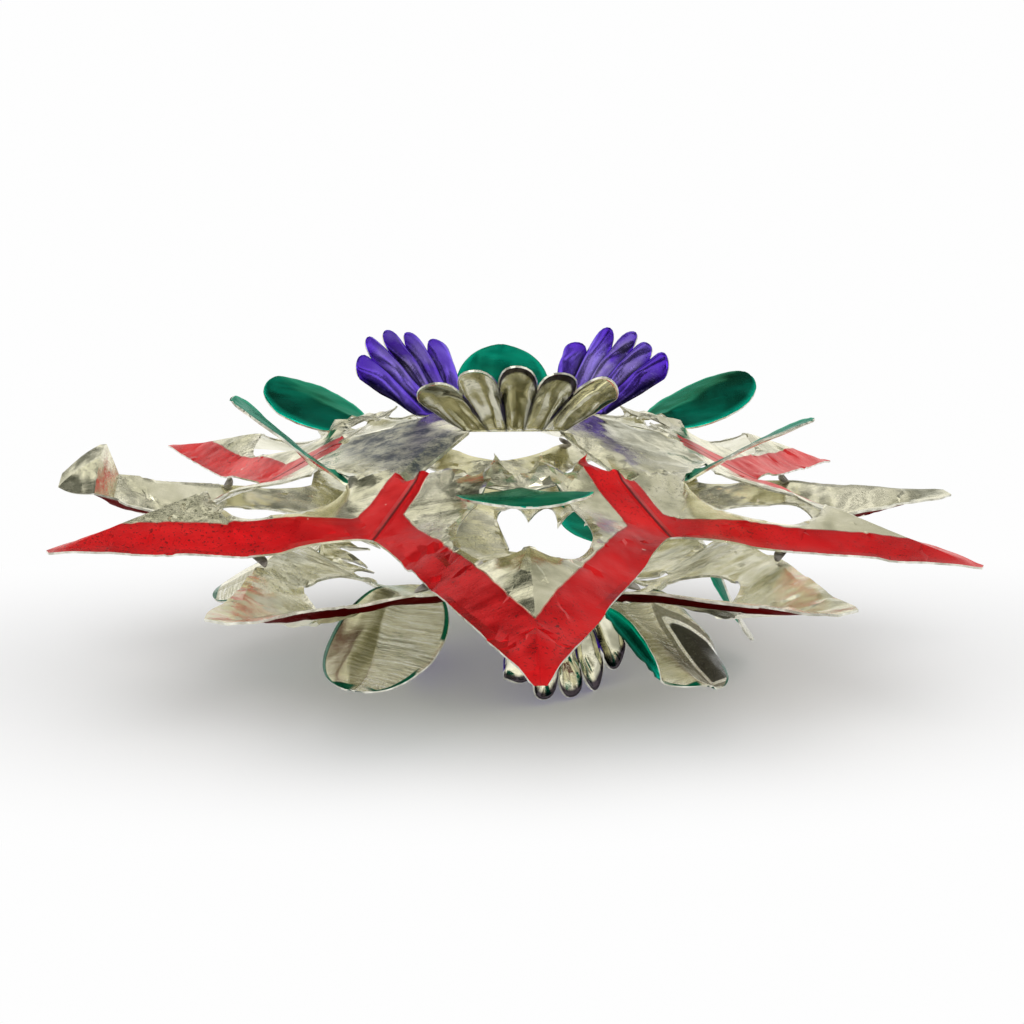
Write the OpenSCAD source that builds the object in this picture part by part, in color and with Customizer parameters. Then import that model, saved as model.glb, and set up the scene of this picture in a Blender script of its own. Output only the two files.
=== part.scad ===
// Tin star ornament: two cut and folded sheets of tinplate, set back to back and soldered.
// Each sheet is a six-pointed star. Its three fans and six leaves are cut from the sheet
// and bent outwards, and each leaves a window of its own outline behind.
// The lower sheet is the upper one mirrored and turned by half the angle between two points.
// Z is the ornament's axis, the front point faces -Y and Z = 0 is the table that it stands on.

/* [Star] */
// Centre to the end of a point
tip_r = 70; // [56:0.5:90]
// Centre to the valley between two points
valley_r = 38.7; // [34:0.1:48]
// Width of the blunt end of a point
tip_w = 1.4; // [0.6:0.1:4]
// Thickness of the tinplate
sheet_t = 0.3; // [0.2:0.05:0.6]

/* [Centre plate] */
// Centre to the middle of an edge of the flat hexagon
plate_a = 11.4; // [9:0.1:14]
// Height of the hexagon over the plane where the sheets meet
plate_z = 12.8; // [8:0.1:18]

/* [Folds] */
// Centre to the inner end of the seam between two points
seam_r = 26.9; // [24:0.1:30]
// Height of that end
seam_z = 8.6; // [5:0.1:12]
// Height of the valley
valley_z = 2.2; // [0.8:0.1:4]
// Height of each upper ridge at the fold of its leaf, from the front one anticlockwise
upper_ridge_z = [8.3, 7.4, 10.4, 8.6, 10.4, 7.7];
// The same below, from the front right one
lower_ridge_z = [9.0, 7.6, 7.8, 7.6, 7.6, 7.8];

/* [Fans] */
// Petals in a fan
petals = 5; // [3:1:7]
// Half the angle that a fan opens to
fan_half = 38; // [30:1:40]
// Length of a fan's window from the fold to the end of a petal
fan_len = 15.7; // [13:0.1:17]
// Length of an upper fan, which fluting has drawn out
upper_fan_len = 17.6; // [13:0.1:20]
// Length of a lower fan
lower_fan_len = 16.2; // [13:0.1:20]
// Depth of the cut between two petals
petal_cut = 5.2; // [2:0.1:6]
// Depth of the rounding at the outer corner of a fan
corner_cut = 2.2; // [0.5:0.1:4]
// Height of the flutes at the ends of the petals
flute_h = 1.5; // [0.5:0.1:2.5]

/* [Leaves] */
// Centre to the fold of a leaf
fold_d = 29.8; // [28.5:0.1:33]
// Length of a leaf from its fold to its end
leaf_len = 18.9; // [14:0.1:20]
// Width of a leaf
leaf_w = 17.2; // [13:0.1:19]
// Width of the fold
neck_w = 9.4; // [6:0.1:12]

/* [Bends] */
// Length of sheet that a bend takes up
bend_len = 1.8; // [1:0.1:3]
// Bend of the upper fans: front, back right, back left
upper_fan_bend = [45, 50, 52];
// Bend of all three lower fans, which the ornament stands on
lower_fan_bend = 74; // [50:1:78]
// Bend of the upper leaves, from the front one anticlockwise seen from above
upper_leaf_bend = [13, 30, 16, 36, 18, 41];
// Bend of the lower leaves, from the front right one anticlockwise seen from above
lower_leaf_bend = [22, 66, 40, 34, 26, 25];

/* [Solder] */
// Radius of a solder bead under a crossing of the edges
bead_r = 1.3; // [0.8:0.1:2]

/* [Hidden] */
tin = [0.78, 0.78, 0.70];
red = [0.80, 0.10, 0.10];
green = [0.02, 0.50, 0.36];
violet = [0.24, 0.14, 0.62];
solder_grey = [0.55, 0.55, 0.53];

// Both sheets have six points, so half the angle between two of them is 30 degrees
point_a = 60;
half_a = point_a / 2;
cross_a = half_a / 2;

// A place that lies l to the right of a point's centreline and d out from the axis
function at(l, d, z, a) = [l * cos(a) + d * sin(a), l * sin(a) - d * cos(a), z];
function mix(p, q, s) = p + (q - p) * s;

// Outline of a point: from the valley to the blunt end, straight
valley_l = valley_r * sin(half_a);
valley_d = valley_r * cos(half_a);
function edge_l(d) = mix(valley_l, tip_w / 2, (d - valley_d) / (tip_r - valley_d));
// The edge of each sheet crosses an edge of the other where it is cross_a off its centreline
cross_s = (valley_l - tan(cross_a) * valley_d)
    / (valley_l - tip_w / 2 + tan(cross_a) * (tip_r - valley_d));
cross_d = mix(valley_d, tip_r, cross_s);
cross_r = cross_d / cos(cross_a);

plate_half = plate_a * tan(half_a);
// The windows are cut this far outside the creases that their tabs bend at
cut_back = 0.05;
fan_d = plate_a + cut_back;
leaf_d = fold_d + cut_back;
// The ridge starts a little outside the end of the leaf's window
lip = 0.4;
leaf_end = leaf_d + leaf_len + lip;

// Two rows across each point near its end, where a knock can bend it
knock_d = tip_r * 0.885;
knock_end = tip_r * 0.905;

// Heights by hand: the ridge at the end of each leaf's window, then the end of each point
upper_ridge_end = [5.6, 4.4, 5.4, 5.2, 5.8, 7.0];
upper_tip_z = [-3.0, -2.0, -2.4, -1.0, 1.3, 1.4];
lower_ridge_end = [5.4, 5.2, 5.6, 5.4, 4.6, 5.4];
lower_tip_z = [-1.4, -0.4, -1.0, -1.2, -3.4, -1.3];
// The left lower point has been knocked up near its end: heights of its two rows there,
// each from the right edge over the ridge to the left edge, in the mirrored sheet's own sense
knocked_point = 4;
knocked_rows = [[-2.2, 0.4, -3.2], [-2.8, -7.0, -8.2]];

// Points of one sheet's inner face. Each sixth has 12 of its own and 3 on its right-hand seam
sixth = 15;
function ridge_at(d, re, tz) = mix(re, tz, (d - leaf_end) / (tip_r - leaf_end));
function edge_at(d, tz) = mix(0, tz, (d - cross_d) / (tip_r - cross_d));
function row_at(d, re, tz) = [edge_at(d, tz), ridge_at(d, re, tz), edge_at(d, tz)];
function rows_at(k, re, tz, knock) = k == knock
    ? knocked_rows
    : [row_at(knock_d, re, tz), row_at(knock_end, re, tz)];
function sixth_points(a, rz, re, tz, rows) = [
    at(0, fold_d, rz, a),
    at(0, leaf_end, re, a),
    at(edge_l(cross_d), cross_d, 0, a),
    at(-edge_l(cross_d), cross_d, 0, a),
    for (i = [0:1], s = [1:-1:-1])
        let (d = i == 0 ? knock_d : knock_end)
        at(s * edge_l(d), d, rows[i][1 - s], a),
    at(tip_w / 2, tip_r, tz, a),
    at(-tip_w / 2, tip_r, tz, a),
    at(0, plate_a / cos(half_a), plate_z, a + half_a),
    at(0, seam_r, seam_z, a + half_a),
    at(0, valley_r, valley_z, a + half_a)
];
function star_points(ridge_z, ridge_end, tip_z, knock) = [
    for (k = [0:5])
        each sixth_points(k * point_a, ridge_z[k], ridge_end[k], tip_z[k],
            rows_at(k, ridge_end[k], tip_z[k], knock))
];

// Faces of one sixth, seen from the outside and anticlockwise. The names are the rows of
// sixth_points: fold, window end, crossings, rows of the knock, blunt end, then the seams
function sixth_faces(k) =
    let (
        o = k * sixth,
        n = ((k + 5) % 6) * sixth,
        g = o, w = o + 1, xr = o + 2, xl = o + 3,
        ar = o + 4, am = o + 5, al = o + 6,
        br = o + 7, bm = o + 8, bl = o + 9,
        tr = o + 10, tl = o + 11,
        p = o + 12, s = o + 13, v = o + 14,
        pn = n + 12, sn = n + 13, vn = n + 14
    )
    [
        [pn, g, p],
        [p, g, s], [g, v, s], [g, w, v], [w, xr, v], [w, ar, xr],
        [w, am, ar], [am, br, ar], [am, bm, br], [bm, tr, br], [bm, tl, tr],
        [pn, sn, g], [g, sn, vn], [g, vn, w], [w, vn, xl], [w, xl, al],
        [w, al, am], [am, al, bl], [am, bl, bm], [bm, bl, tl]
    ];
function rim(k) =
    let (o = k * sixth, n = ((k + 5) % 6) * sixth)
    [n + 14, o + 3, o + 6, o + 9, o + 11, o + 10, o + 7, o + 4, o + 2];

function turned_over(faces) = [for (f = faces) [for (i = [len(f) - 1:-1:0]) f[i]]];
function raised(points, h) = [for (p = points) p + [0, 0, h]];
function shifted(faces, n) = [for (f = faces) [for (i = f) i + n]];

// The folded sheet before its windows are cut: a skin of constant height
module folded_sheet(points) {
    n = len(points);
    skin = [
        [for (k = [0:5]) k * sixth + 12],
        for (k = [0:5]) each sixth_faces(k)
    ];
    loop = [for (k = [0:5]) each rim(k)];
    walls = [
        for (i = [0:len(loop) - 1])
            let (a = loop[i], b = loop[(i + 1) % len(loop)])
            [a, a + n, b + n, b]
    ];
    // The outer face comes first in the list, the inner face n places later
    polyhedron(
        concat(raised(points, sheet_t), points),
        concat(turned_over(skin), shifted(skin, n), turned_over(walls)),
        convexity = 10
    );
}

// Fan outline: petals about an apex, where the two straight sides would meet
apex_d = fan_d - plate_half / tan(fan_half);
fan_r = fan_len + fan_d - apex_d;
petal_half = fan_half / petals;
function petal_u(a) =
    let (i = min(petals - 1, floor((a + fan_half) / (2 * petal_half))))
    (a + fan_half) / petal_half - 2 * i - 1;
function petal_edge(a, u) =
    let (outer = abs(a) > fan_half - petal_half)
    fan_r - (outer ? corner_cut : petal_cut) * (1 - sqrt(max(0, 1 - u * u)));
// Directions of the outline's corners, closer together where the petals are steep
function fan_angles(steps) = [
    for (i = [0:petals - 1], q = [0:steps - 1])
        -fan_half + petal_half * (2 * i + 1 - cos(180 * q / steps)),
    fan_half
];
function fan_at(a, s) =
    let (r = mix((fan_d - apex_d) / cos(a), petal_edge(a, petal_u(a)), s))
    [r * sin(a), apex_d + r * cos(a)];

module fan_window() {
    outline = [for (a = fan_angles(10)) fan_at(a, 1)];
    polygon([
        [-plate_half, -fan_d],
        for (p = outline) [p[0], -p[1]],
        [plate_half, -fan_d]
    ]);
}

// Leaf outline: an ellipse cut off by the fold. Its centre lies leaf_c from the fold
leaf_cut = sqrt(1 - pow(neck_w / leaf_w, 2));
leaf_a = leaf_len / (1 + leaf_cut);
leaf_c = leaf_a * leaf_cut;

module leaf_window() {
    intersection() {
        translate([0, -leaf_d - leaf_c])
            scale([leaf_w / 2, leaf_a])
                circle(r = 1, $fn = 56);
        translate([-leaf_w, -leaf_d - 2 * leaf_len])
            square([2 * leaf_w, 2 * leaf_len]);
    }
}

module star(points) {
    difference() {
        folded_sheet(points);
        for (k = [0:2:5])
            rotate([0, 0, k * point_a])
                linear_extrude(height = 2 * plate_z)
                    fan_window();
        for (k = [0:5])
            rotate([0, 0, k * point_a])
                translate([0, 0, -plate_z])
                    linear_extrude(height = 3 * plate_z)
                        leaf_window();
    }
}

// Where a strip ends up that is bent at a fold: u along the sheet from the fold, b the bend,
// curl the further turn from the bend to the strip's end. Gives the place and the direction
function bent(u, len, b, curl) =
    let (
        ub = min(u, bend_len),
        ang = b * ub / bend_len,
        rb = bend_len / (b * PI / 180),
        more = curl * max(0, u - bend_len) / (len - bend_len),
        chord = max(0, u - bend_len)
            * (more == 0 ? 1 : sin(more / 2) / (more * PI / 360))
    )
    [
        rb * sin(ang) + chord * cos(b + more / 2),
        rb * (1 - cos(ang)) + chord * sin(b + more / 2),
        ang + more
    ];

function unit(v) = v / norm(v);
function grid_normal(g, i, j) =
    let (n = len(g) - 1, m = len(g[0]) - 1)
    unit(cross(
        g[min(i + 1, n)][j] - g[max(i - 1, 0)][j],
        g[i][min(j + 1, m)] - g[i][max(j - 1, 0)]
    ));

// A grid of places on a tab's inner face, made a sheet thick. Its first row lies on the fold
// and is raised straight up, so that it meets the cut edge of the star face to face
module tab(g) {
    n = len(g) - 1;
    m = len(g[0]) - 1;
    w = m + 1;
    all = (n + 1) * w;
    inner = [for (i = [0:n], j = [0:m]) g[i][j]];
    outer = [
        for (i = [0:n], j = [0:m])
            g[i][j] + sheet_t * (i == 0 ? [0, 0, 1] : grid_normal(g, i, j))
    ];
    skin = [
        for (i = [0:n - 1], j = [0:m - 1])
            let (a = i * w + j)
            each [[a, a + w, a + w + 1], [a, a + w + 1, a + 1]]
    ];
    loop = concat(
        [for (i = [0:n - 1]) i * w],
        [for (j = [0:m - 1]) n * w + j],
        [for (i = [n:-1:1]) i * w + m],
        [for (j = [m:-1:1]) j]
    );
    walls = [
        for (i = [0:len(loop) - 1])
            let (a = loop[i], b = loop[(i + 1) % len(loop)])
            each [[a, a + all, b + all], [a, b + all, b]]
    ];
    polyhedron(
        concat(outer, inner),
        concat(turned_over(skin), shifted(skin, all), turned_over(walls)),
        convexity = 10
    );
}

// A fluted fan. Its petals bulge towards the painted face, more so towards their ends.
// len is its drawn-out length, and draw the share by which it has closed in sideways
fan_rows = 7;
upper_fan_draw = 0;
lower_fan_draw = 0.2;
fan_curl = -8;
function fan_grid(b, len, draw) = [
    for (i = [0:fan_rows])
        [
            for (a = fan_angles(6))
                let (
                    s = i / fan_rows,
                    p = fan_at(a, s),
                    c = bent((p[1] - fan_d) * len / fan_len, len, b, fan_curl),
                    rise = flute_h * min(1, 1.5 * s) * (cos(90 * petal_u(a)) - 0.5)
                )
                [
                    p[0] * (1 - draw * s),
                    -fan_d - c[0] + rise * sin(c[2]),
                    plate_z + c[1] + rise * cos(c[2])
                ]
        ]
];

// Height of the sheet's inner face on the fold, l off the centreline: a low roof
seam_d = seam_r * cos(half_a);
seam_l = seam_r * sin(half_a);
function fold_z(l, rz) =
    let (
        b = ((seam_z - rz) * valley_l - (valley_z - rz) * seam_l)
            / ((seam_d - fold_d) * valley_l - (valley_d - fold_d) * seam_l),
        a = (valley_z - rz - b * (valley_d - fold_d)) / valley_l
    )
    rz + a * abs(l) + b * cut_back;

// A leaf: its crease at the fold dies out along it, and dish lifts or drops its two edges
leaf_rows = 10;
leaf_columns = 6;
leaf_last = 172;
function leaf_grid(rz, b, curl, dish, twist, lean) =
    let (first = acos(leaf_cut))
    [
        for (i = [0:leaf_rows])
            [
                for (j = [0:leaf_columns])
                    let (
                        t = mix(first, leaf_last, i / leaf_rows),
                        u = leaf_c - leaf_a * cos(t),
                        f = 2 * j / leaf_columns - 1,
                        l = f * leaf_w / 2 * sin(t),
                        s = i / leaf_rows,
                        c = bent(u, leaf_len, b, curl),
                        rise = dish * min(1, 2 * s) * f * f * sin(t) + l * sin(twist * s)
                    )
                    [
                        l * cos(twist * s) + lean * s,
                        -leaf_d - c[0] + rise * sin(c[2]),
                        rz + c[1] + rise * cos(c[2]) + (fold_z(l, rz) - rz) * pow(1 - s, 3)
                    ]
            ]
    ];

// Curl along each leaf, dish across it, twist and lean, chosen by hand like the bends
upper_leaf_form = [
    [2, 0.6, 2, 0], [-4, 0.6, -2, 0], [6, -1.0, 2, 0],
    [-4, -1.0, 0, 0], [6, -1.0, -2, 0], [-6, 0.5, 2, 0]
];
lower_leaf_form = [
    [-8, 2.0, 10, 0], [-8, 1.0, 0, 0], [-6, 0.8, 3, 0],
    [-6, 0.8, -3, 0], [-4, 0.6, 4, 0], [-6, 0.8, -4, 2.2]
];

// The ornament stands on the ends of the lower fans
lower_fan_grid = fan_grid(lower_fan_bend, lower_fan_len, lower_fan_draw);
equator_z = max([for (row = lower_fan_grid, p = row) p[2]]) + sheet_t / 2;

module upper(a) {
    translate([0, 0, equator_z])
        rotate([0, 0, a])
            children();
}

module lower(a) {
    translate([0, 0, equator_z])
        rotate([0, 0, a + half_a])
            mirror([0, 0, 1])
                children();
}

upper_points = star_points(upper_ridge_z, upper_ridge_end, upper_tip_z, -1);
lower_points = star_points(lower_ridge_z, lower_ridge_end, lower_tip_z, knocked_point);

module upper_star() {
    color(tin)
        upper(0)
            star(upper_points);
}

module lower_star() {
    color(tin)
        lower(0)
            star(lower_points);
}

module upper_fan(i) {
    color(violet)
        upper(2 * i * point_a)
            tab(fan_grid(upper_fan_bend[i], upper_fan_len, upper_fan_draw));
}

module lower_fan(i) {
    color(violet)
        lower(2 * i * point_a)
            tab(lower_fan_grid);
}

module upper_leaf(i) {
    form = upper_leaf_form[i];
    color(green)
        upper(i * point_a)
            tab(leaf_grid(upper_ridge_z[i], upper_leaf_bend[i], form[0], form[1], form[2], form[3]));
}

module lower_leaf(i) {
    form = lower_leaf_form[i];
    color(green)
        lower(i * point_a)
            tab(leaf_grid(lower_ridge_z[i], lower_leaf_bend[i], form[0], form[1], form[2], form[3]));
}

// All that lies on the inner side of the face through p, q and r, out to the size h
module inside_face(p, q, r, h) {
    x = unit(q - p);
    z = unit(cross(q - p, r - p));
    y = cross(z, x);
    multmatrix([
        [x[0], y[0], z[0], p[0]],
        [x[1], y[1], z[1], p[1]],
        [x[2], y[2], z[2], p[2]],
        [0, 0, 0, 1]
    ])
        translate([-h, -h, -h])
            cube([2 * h, 2 * h, h]);
}

// What lies inside one sheet beside a crossing. side is 1 right of the point, -1 left of it
module inside_sheet(points, k, side) {
    o = k * sixth;
    w = points[o + 1];
    x = points[o + (side > 0 ? 2 : 3)];
    v = points[((k + (side > 0 ? 0 : 5)) % 6) * sixth + 14];
    n = points[o + (side > 0 ? 4 : 6)];
    reach = 3 * bead_r;
    near_w = x + unit(w - x) * reach;
    intersection() {
        if (side > 0)
            inside_face(x, v, near_w, reach);
        else
            inside_face(x, near_w, v, reach);
        if (side > 0)
            inside_face(x, near_w, n, reach);
        else
            inside_face(x, n, near_w, reach);
    }
}

module solder_bead(k, side) {
    a = k * point_a + side * cross_a;
    // The same crossing in the lower sheet, which is turned by half_a
    kl = side > 0 ? k : (k + 5) % 6;
    intersection() {
        translate([cross_r * sin(a), -cross_r * cos(a), 0])
            sphere(r = bead_r, $fn = 20);
        inside_sheet(upper_points, k, side);
        rotate([0, 0, half_a])
            mirror([0, 0, 1])
                inside_sheet(lower_points, kl, -side);
    }
}

module solder_beads() {
    color(solder_grey)
        upper(0)
            for (k = [0:5], side = [-1, 1])
                solder_bead(k, side);
}

// Part to draw

upper_star();
lower_star();
upper_fan(0);  // upper_fan_front
upper_fan(1);  // upper_fan_back_right
upper_fan(2);  // upper_fan_back_left
lower_fan(0);  // lower_fan_front_right
lower_fan(1);  // lower_fan_back_right
lower_fan(2);  // lower_fan_left
upper_leaf(0);  // upper_leaf_front
upper_leaf(1);  // upper_leaf_front_right
upper_leaf(2);  // upper_leaf_back_right
upper_leaf(3);  // upper_leaf_back
upper_leaf(4);  // upper_leaf_back_left
upper_leaf(5);  // upper_leaf_front_left
lower_leaf(0);  // lower_leaf_front_right
lower_leaf(1);  // lower_leaf_right
lower_leaf(2);  // lower_leaf_back_right
lower_leaf(3);  // lower_leaf_back_left
lower_leaf(4);  // lower_leaf_left
lower_leaf(5);  // lower_leaf_front_left
solder_beads();
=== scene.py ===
import math

import bpy
import numpy as np
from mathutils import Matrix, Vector, noise
from mathutils.geometry import delaunay_2d_cdt


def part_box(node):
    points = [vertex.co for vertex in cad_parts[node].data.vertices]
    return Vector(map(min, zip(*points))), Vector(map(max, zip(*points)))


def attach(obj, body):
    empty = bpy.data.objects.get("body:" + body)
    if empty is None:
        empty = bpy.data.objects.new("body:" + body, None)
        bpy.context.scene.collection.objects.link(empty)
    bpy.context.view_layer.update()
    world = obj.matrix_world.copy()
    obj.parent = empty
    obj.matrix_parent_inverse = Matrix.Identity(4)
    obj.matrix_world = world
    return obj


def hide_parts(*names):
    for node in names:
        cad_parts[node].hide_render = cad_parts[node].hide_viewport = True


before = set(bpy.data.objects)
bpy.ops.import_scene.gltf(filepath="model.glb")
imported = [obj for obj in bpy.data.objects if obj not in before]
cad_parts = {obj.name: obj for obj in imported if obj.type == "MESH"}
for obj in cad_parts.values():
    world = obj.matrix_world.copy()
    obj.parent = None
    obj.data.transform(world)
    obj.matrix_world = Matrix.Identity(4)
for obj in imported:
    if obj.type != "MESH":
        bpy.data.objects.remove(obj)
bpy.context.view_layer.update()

# Sizes in millimetres, as in the CAD source
TIP_R, VALLEY_R, TIP_W, SHEET = 70.0, 38.7, 1.4, 0.3
PLATE_A, PLATE_Z = 11.4, 12.8
SEAM_R, SEAM_Z, VALLEY_Z = 26.9, 8.6, 2.2
UPPER_RIDGE = [8.3, 7.4, 10.4, 8.6, 10.4, 7.7]
LOWER_RIDGE = [9.0, 7.6, 7.8, 7.6, 7.6, 7.8]
UPPER_END = [5.6, 4.4, 5.4, 5.2, 5.8, 7.0]
UPPER_TIP = [-3.0, -2.0, -2.4, -1.0, 1.3, 1.4]
LOWER_END = [5.4, 5.2, 5.6, 5.4, 4.6, 5.4]
LOWER_TIP = [-1.4, -0.4, -1.0, -1.2, -3.4, -1.3]
KNOCKED = 4
KNOCKED_ROWS = [[-2.2, 0.4, -3.2], [-2.8, -7.0, -8.2]]
PETALS, FAN_HALF, FAN_LEN = 5, 38.0, 15.7
UPPER_FAN_LEN, LOWER_FAN_LEN = 17.6, 16.2
PETAL_CUT, CORNER_CUT, FLUTE = 5.2, 2.2, 1.5
FOLD_D, LEAF_LEN, LEAF_W, NECK_W = 29.8, 18.9, 17.2, 9.4
BEND = 1.8
UPPER_FAN_BEND, LOWER_FAN_BEND = [45, 50, 52], 74
UPPER_LEAF_BEND = [13, 30, 16, 36, 18, 41]
LOWER_LEAF_BEND = [22, 66, 40, 34, 26, 25]
UPPER_FORM = [
    [-14, 0.1, 1, 0], [-4, 0.5, -0.6, 0], [6, -1.0, 2, 0],
    [-4, -1.0, 0, 0], [6, -1.0, -2, 0], [-4, 0.3, -13, 0],
]
LOWER_FORM = [
    [-8, 2.0, 10, 0], [-8, 1.0, 0, 0], [-6, 0.8, 3, 0],
    [-6, 0.8, -3, 0], [-4, 0.6, 4, 0], [-6, 0.8, -4, 2.2],
]
CUT_BACK, LIP = 0.05, 0.4
HALF = 30.0

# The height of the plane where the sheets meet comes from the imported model
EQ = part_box("upper_star")[1][2] * 1000 - PLATE_Z - SHEET


def sin(a):
    return math.sin(math.radians(a))


def cos(a):
    return math.cos(math.radians(a))


def tan(a):
    return math.tan(math.radians(a))


def mix(p, q, s):
    return p + (q - p) * s


def unit(x):
    return max(0.0, min(1.0, x))


def at(l, d, z, a):
    """A place l beside and d along the centreline of the point at angle a."""
    return (l * cos(a) + d * sin(a), l * sin(a) - d * cos(a), z)


VALLEY_L, VALLEY_D = VALLEY_R * sin(HALF), VALLEY_R * cos(HALF)
CROSS_A = HALF / 2
CROSS_S = (VALLEY_L - tan(CROSS_A) * VALLEY_D) / (
    VALLEY_L - TIP_W / 2 + tan(CROSS_A) * (TIP_R - VALLEY_D)
)
CROSS_D = mix(VALLEY_D, TIP_R, CROSS_S)
PLATE_HALF = PLATE_A * tan(HALF)
FAN_D, LEAF_D = PLATE_A + CUT_BACK, FOLD_D + CUT_BACK
LEAF_END = LEAF_D + LEAF_LEN + LIP
KNOCK_D, KNOCK_END = TIP_R * 0.885, TIP_R * 0.905
# Corners of the skin for each of the six points
SIXTH = 15


def edge_l(d):
    return mix(VALLEY_L, TIP_W / 2, (d - VALLEY_D) / (TIP_R - VALLEY_D))


def star_points(ridge, ends, tips, knocked):
    """The corners of one folded sheet's inner face, as in the CAD source."""
    pts = []
    for k in range(6):
        a, rz, re, tz = 60 * k, ridge[k], ends[k], tips[k]
        rows = []
        for d in (KNOCK_D, KNOCK_END):
            e = mix(0, tz, (d - CROSS_D) / (TIP_R - CROSS_D))
            r = mix(re, tz, (d - LEAF_END) / (TIP_R - LEAF_END))
            rows.append([e, r, e])
        if k == knocked:
            rows = KNOCKED_ROWS
        pts += [at(0, FOLD_D, rz, a), at(0, LEAF_END, re, a)]
        pts += [at(edge_l(CROSS_D), CROSS_D, 0, a), at(-edge_l(CROSS_D), CROSS_D, 0, a)]
        for i, d in enumerate((KNOCK_D, KNOCK_END)):
            for s in (1, 0, -1):
                pts.append(at(s * edge_l(d), d, rows[i][1 - s], a))
        pts += [at(TIP_W / 2, TIP_R, tz, a), at(-TIP_W / 2, TIP_R, tz, a)]
        pts += [
            at(0, PLATE_A / cos(HALF), PLATE_Z, a + HALF),
            at(0, SEAM_R, SEAM_Z, a + HALF),
            at(0, VALLEY_R, VALLEY_Z, a + HALF),
        ]
    return np.array(pts)


def star_faces():
    """Triangles of the folded sheet, over the corners of star_points."""
    faces = []
    for k in range(6):
        o, n = k * SIXTH, ((k + 5) % 6) * SIXTH
        g, w, xr, xl, ar, am, al, br, bm, bl, tr, tl, p, s, v = range(o, o + SIXTH)
        pn, sn, vn = n + 12, n + 13, n + 14
        faces += [
            (pn, g, p), (p, g, s), (g, v, s), (g, w, v), (w, xr, v), (w, ar, xr),
            (w, am, ar), (am, br, ar), (am, bm, br), (bm, tr, br), (bm, tl, tr),
            (pn, sn, g), (g, sn, vn), (g, vn, w), (w, vn, xl), (w, xl, al),
            (w, al, am), (am, al, bl), (am, bl, bm), (bm, bl, tl),
        ]
    plate = [k * SIXTH + 12 for k in range(6)]
    faces += [(plate[0], plate[i], plate[i + 1]) for i in range(1, 5)]
    return faces


def star_rim():
    """The corners round the edge of the star."""
    rim = []
    for k in range(6):
        o, n = k * SIXTH, ((k + 5) % 6) * SIXTH
        rim += [n + 14, o + 3, o + 6, o + 9, o + 11, o + 10, o + 7, o + 4, o + 2]
    return rim


APEX_D = FAN_D - PLATE_HALF / tan(FAN_HALF)
FAN_R = FAN_LEN + FAN_D - APEX_D
PETAL_HALF = FAN_HALF / PETALS


def petal_u(a):
    """Place within the petal at angle a, from -1 to 1."""
    i = min(PETALS - 1, math.floor((a + FAN_HALF) / (2 * PETAL_HALF)))
    return (a + FAN_HALF) / PETAL_HALF - 2 * i - 1


def petal_edge(a):
    """Distance of the fan's far edge from its apex."""
    cut = CORNER_CUT if abs(a) > FAN_HALF - PETAL_HALF else PETAL_CUT
    return FAN_R - cut * (1 - math.sqrt(max(0.0, 1 - petal_u(a) ** 2)))


def fan_angles(steps):
    out = [
        -FAN_HALF + PETAL_HALF * (2 * i + 1 - cos(180 * q / steps))
        for i in range(PETALS)
        for q in range(steps)
    ]
    return out + [FAN_HALF]


def fan_at(a, s):
    r = mix((FAN_D - APEX_D) / cos(a), petal_edge(a), s)
    return r * sin(a), APEX_D + r * cos(a)


LEAF_CUT = math.sqrt(1 - (NECK_W / LEAF_W) ** 2)
LEAF_A = LEAF_LEN / (1 + LEAF_CUT)
LEAF_C = LEAF_A * LEAF_CUT


# Pieces of the outline of a leaf's window, and of each lobe of a fan's
LEAF_STEPS, LOBE_STEPS = 56, 12


def leaf_window():
    """Outline of a leaf's window in its own sixth: l to the right, d outwards."""
    first = math.degrees(math.acos(LEAF_CUT))
    out = []
    for i in range(LEAF_STEPS + 1):
        t = mix(first, 360 - first, i / LEAF_STEPS)
        out.append((LEAF_W / 2 * sin(t), LEAF_D + LEAF_C - LEAF_A * cos(t)))
    return out


def scallop(a):
    """The window's far edge: the cusps between its lobes are blunter than the petals' notches."""
    cut = CORNER_CUT if abs(a) > FAN_HALF - PETAL_HALF else PETAL_CUT - 0.7
    r = FAN_R - cut * petal_u(a) ** 2
    return r * sin(a), APEX_D + r * cos(a)


def fan_window():
    pts = [(-PLATE_HALF, FAN_D)] + [scallop(a) for a in fan_angles(LOBE_STEPS)]
    return pts + [(PLATE_HALF, FAN_D)]


def inside(poly, x, y):
    """Which of the points lie inside a closed polygon."""
    hit = np.zeros(len(x), bool)
    for (ax, ay), (bx, by) in zip(poly, poly[1:] + poly[:1]):
        if ay == by:
            continue
        cross = (ay > y) != (by > y)
        hit ^= cross & (x < (bx - ax) * (y - ay) / (by - ay) + ax)
    return hit


def turned(poly, a):
    return [at(l, d, 0, a)[:2] for l, d in poly]


WINDOWS = [turned(fan_window(), 60 * k) for k in (0, 2, 4)]
WINDOWS += [turned(leaf_window(), 60 * k) for k in range(6)]
CUSPS = [scallop(-FAN_HALF + 2 * PETAL_HALF * i) for i in range(1, PETALS)]


def fractal(x, y, z, size, seed):
    return noise.noise(Vector((x / size + seed, y / size - seed * 1.7, z / size)))


def sector(x, y):
    """(k, l, d) of a place: the nearest point's number, and its place beside that centreline."""
    az = math.degrees(math.atan2(x, -y)) % 360
    k = int(round(az / 60)) % 6
    a = 60 * k
    return k, x * cos(a) + y * sin(a), x * sin(a) - y * cos(a)


# Widths of the red bands along the edges and of the strips beside the seams
BAND, STRIP = 5.1, 3.6
# Strips of the upper sheet with another width, by (point, side)
STRIPS = {(0, 1): 4.7, (1, -1): 2.4, (0, -1): 1.6, (5, 1): 4.7}


def seam_at(x, y):
    """Place beside the nearest seam, positive on the side of the next point."""
    az = math.degrees(math.atan2(x, -y)) % 60 - 30
    return math.hypot(x, y) * sin(az)


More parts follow.
